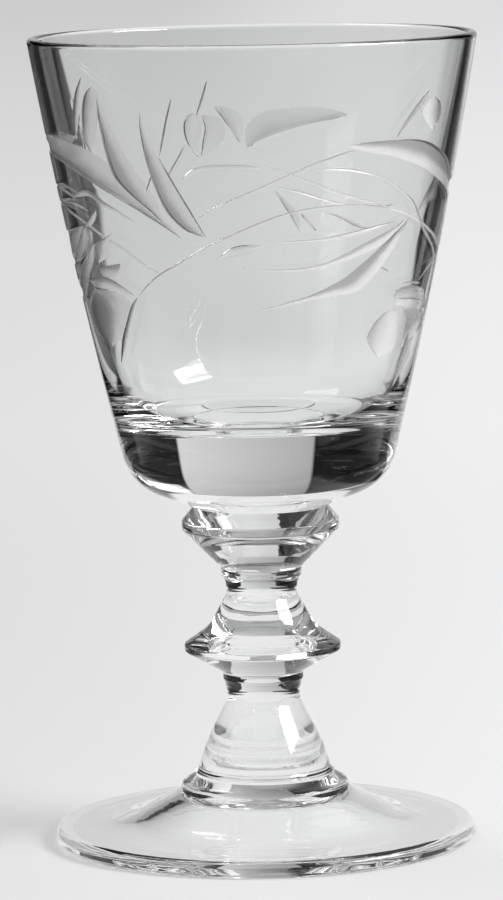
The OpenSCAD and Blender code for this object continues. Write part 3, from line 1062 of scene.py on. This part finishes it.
def backdrop_mask(across, up):
    """One on the upright end of the paper behind the glass and nought beside it."""
    low = 1.0 - up.ramp(0.0, FLARE_TOP)
    left = across - END_LEFT + low * LEFT_FLARE
    right = END_RIGHT - across + low * RIGHT_FLARE
    return left.past(0.0, soft=0.7) * right.past(0.0, soft=0.7)


def lay_table(look):
    """A pale table that reaches past the view, with painted shade that makes it a little darker further back
    and to the left.
    """
    bpy.ops.mesh.primitive_plane_add(size=TABLE_SIZE, location=(0, 0, 0))
    table = bpy.context.object
    table.name = "table_top"
    sheet = material_sheet("pale_table")
    _, x, y, _, out = sheet.place()
    camera, by_glass = sheet.rays()
    # Painted falloff of the light: the table's colour darkens further back and to the left
    lean = x.ramp(-LEAN_REACH, LEAN_REACH) - 0.5
    level = look.table - y * look.table_painted_fall + lean * look.table_painted_lean
    seen = by_glass * between(DARK_TONE, 1.0, paper_mask(x, y, out)) + (1.0 - by_glass)
    ink = sheet.grey(level.highest(TABLE_DARKEST).lowest(TABLE_PALEST) * seen)
    lit = sheet.add("BsdfDiffuse", None, {"Color": ink})
    glow = sheet.add("Emission", None, {"Color": ink, "Strength": 1.0})
    own_light = between(look.glow, look.far_glow, out.ramp(OWN_FROM, OWN_TO))
    glowing = camera * own_light + by_glass * look.far_glow
    sheet.close(sheet.add("MixShader", None, {0: glowing, 1: lit, 2: glow}))
    table.data.materials.append(bpy.data.materials["pale_table"])


def light_world(look):
    """Soft light all round; the glass also sees the paper's upright end between dark screens."""
    world = bpy.data.worlds.new("studio")
    bpy.context.scene.world = world
    world.use_nodes = True
    sheet = Sheet(world.node_tree)
    _, x, y, z, flat = sheet.place("Generated")
    camera, by_glass = sheet.rays()
    across, up = x.bearing(y) * math.degrees(1), z.bearing(flat) * math.degrees(1)
    end = backdrop_mask(across, up) * (END_TONE + across * END_ACROSS - up * END_UP)
    ceiling = up.ramp(CEILING_FROM, CEILING_TO) * CEILING_TONE
    behind = across.abs().past(BEHIND_FROM, soft=6.0) * BEHIND_TONE
    wall = across.past(WALL_FROM, soft=1.0) * (WALL_TO - across).past(0.0, soft=5.0)
    wall *= up.past(WALL_UP, soft=5.0) * WALL_TONE + WALL_LOW_TONE
    through = end.highest(ceiling).highest(behind).highest(wall).highest(SCREEN_TONE)
    lit = between(look.room, through, by_glass)
    ink = sheet.grey(between(lit, look.camera_sky, camera))
    glow = sheet.add("Background", None, {"Color": ink, "Strength": 1.0})
    sheet.close(glow, "OutputWorld")


def hang_lamp(name, across, up, wide, high, power):
    """A soft box at a bearing and a height, facing the glass."""
    data = bpy.data.lights.new(name, "AREA")
    data.shape = "RECTANGLE"
    data.size, data.size_y, data.energy = wide, high, power
    lamp = bpy.data.objects.new(name, data)
    bpy.context.scene.collection.objects.link(lamp)
    across, up = math.radians(across), math.radians(up)
    way = Vector((math.sin(across) * math.cos(up), math.cos(across) * math.cos(up), math.sin(up)))
    lamp.location = Vector((0, 0, BOX_AIM)) + way * BOX_AWAY
    lamp.rotation_mode = "QUATERNION"
    lamp.rotation_quaternion = way.to_track_quat("Z", "Y")
    lamp.visible_camera = False


def place_camera(view):
    data = bpy.data.cameras.new("photo_camera")
    data.sensor_fit = "AUTO"
    data.sensor_width = 36.0
    data.lens = view.focal / PHOTO_H * data.sensor_width
    data.clip_start, data.clip_end = 0.01, 20.0
    camera = bpy.data.objects.new("photo_camera", data)
    bpy.context.scene.collection.objects.link(camera)
    eye, right, up, ahead = view_axes(view)
    camera.matrix_world = Matrix.Translation(eye) @ Matrix((right, up, -ahead)).transposed().to_4x4()
    bpy.context.scene.camera = camera


class GLASS_OT_stage(bpy.types.Operator):
    """Lay the table, hang the lamps and place the camera"""
    bl_idname = "glass.stage"
    bl_label = "Stage"

    def execute(self, context):
        s = context.scene
        s.view_settings.view_transform = "Standard"
        s.cycles.max_bounces = s.cycles.transmission_bounces = GLASS_BOUNCES
        s.cycles.transparent_max_bounces = GLASS_BOUNCES
        s.cycles.glossy_bounces = MIRROR_BOUNCES
        lay_table(s.glass_stage)
        light_world(s.glass_stage)
        for name, box in SOFT_BOXES.items():
            hang_lamp(name, *box)
        place_camera(s.glass_viewpoint)
        return {"FINISHED"}


class GLASS_PT_panel(bpy.types.Panel):
    """Lists the glass's pieces and its stage"""
    bl_idname = "GLASS_PT_panel"
    bl_label = "Cordial Glass"
    bl_space_type = "VIEW_3D"
    bl_region_type = "UI"
    bl_category = "Cordial Glass"

    def draw(self, context):
        for operator in OPERATORS:
            self.layout.operator(operator.bl_idname)


OPERATORS = (
    GLASS_OT_bowl,
    GLASS_OT_upper_knop,
    GLASS_OT_lower_knop,
    GLASS_OT_bell,
    GLASS_OT_wafer,
    GLASS_OT_foot,
    GLASS_OT_stage,
)


CLASSES = (*SETTINGS.values(), *OPERATORS, GLASS_PT_panel)


def register():
    for new in CLASSES:
        bpy.utils.register_class(new)
    for name, group in SETTINGS.items():
        setattr(bpy.types.Scene, name, PointerProperty(type=group))


def unregister():
    for name in SETTINGS:
        delattr(bpy.types.Scene, name)
    for old in reversed(CLASSES):
        bpy.utils.unregister_class(old)


def main():
    register()
    bpy.ops.glass.stage()
    bpy.ops.glass.bowl()
    bpy.ops.glass.upper_knop()
    bpy.ops.glass.lower_knop()
    bpy.ops.glass.bell()
    bpy.ops.glass.wafer()
    bpy.ops.glass.foot()


if __name__ == "__main__":
    main()
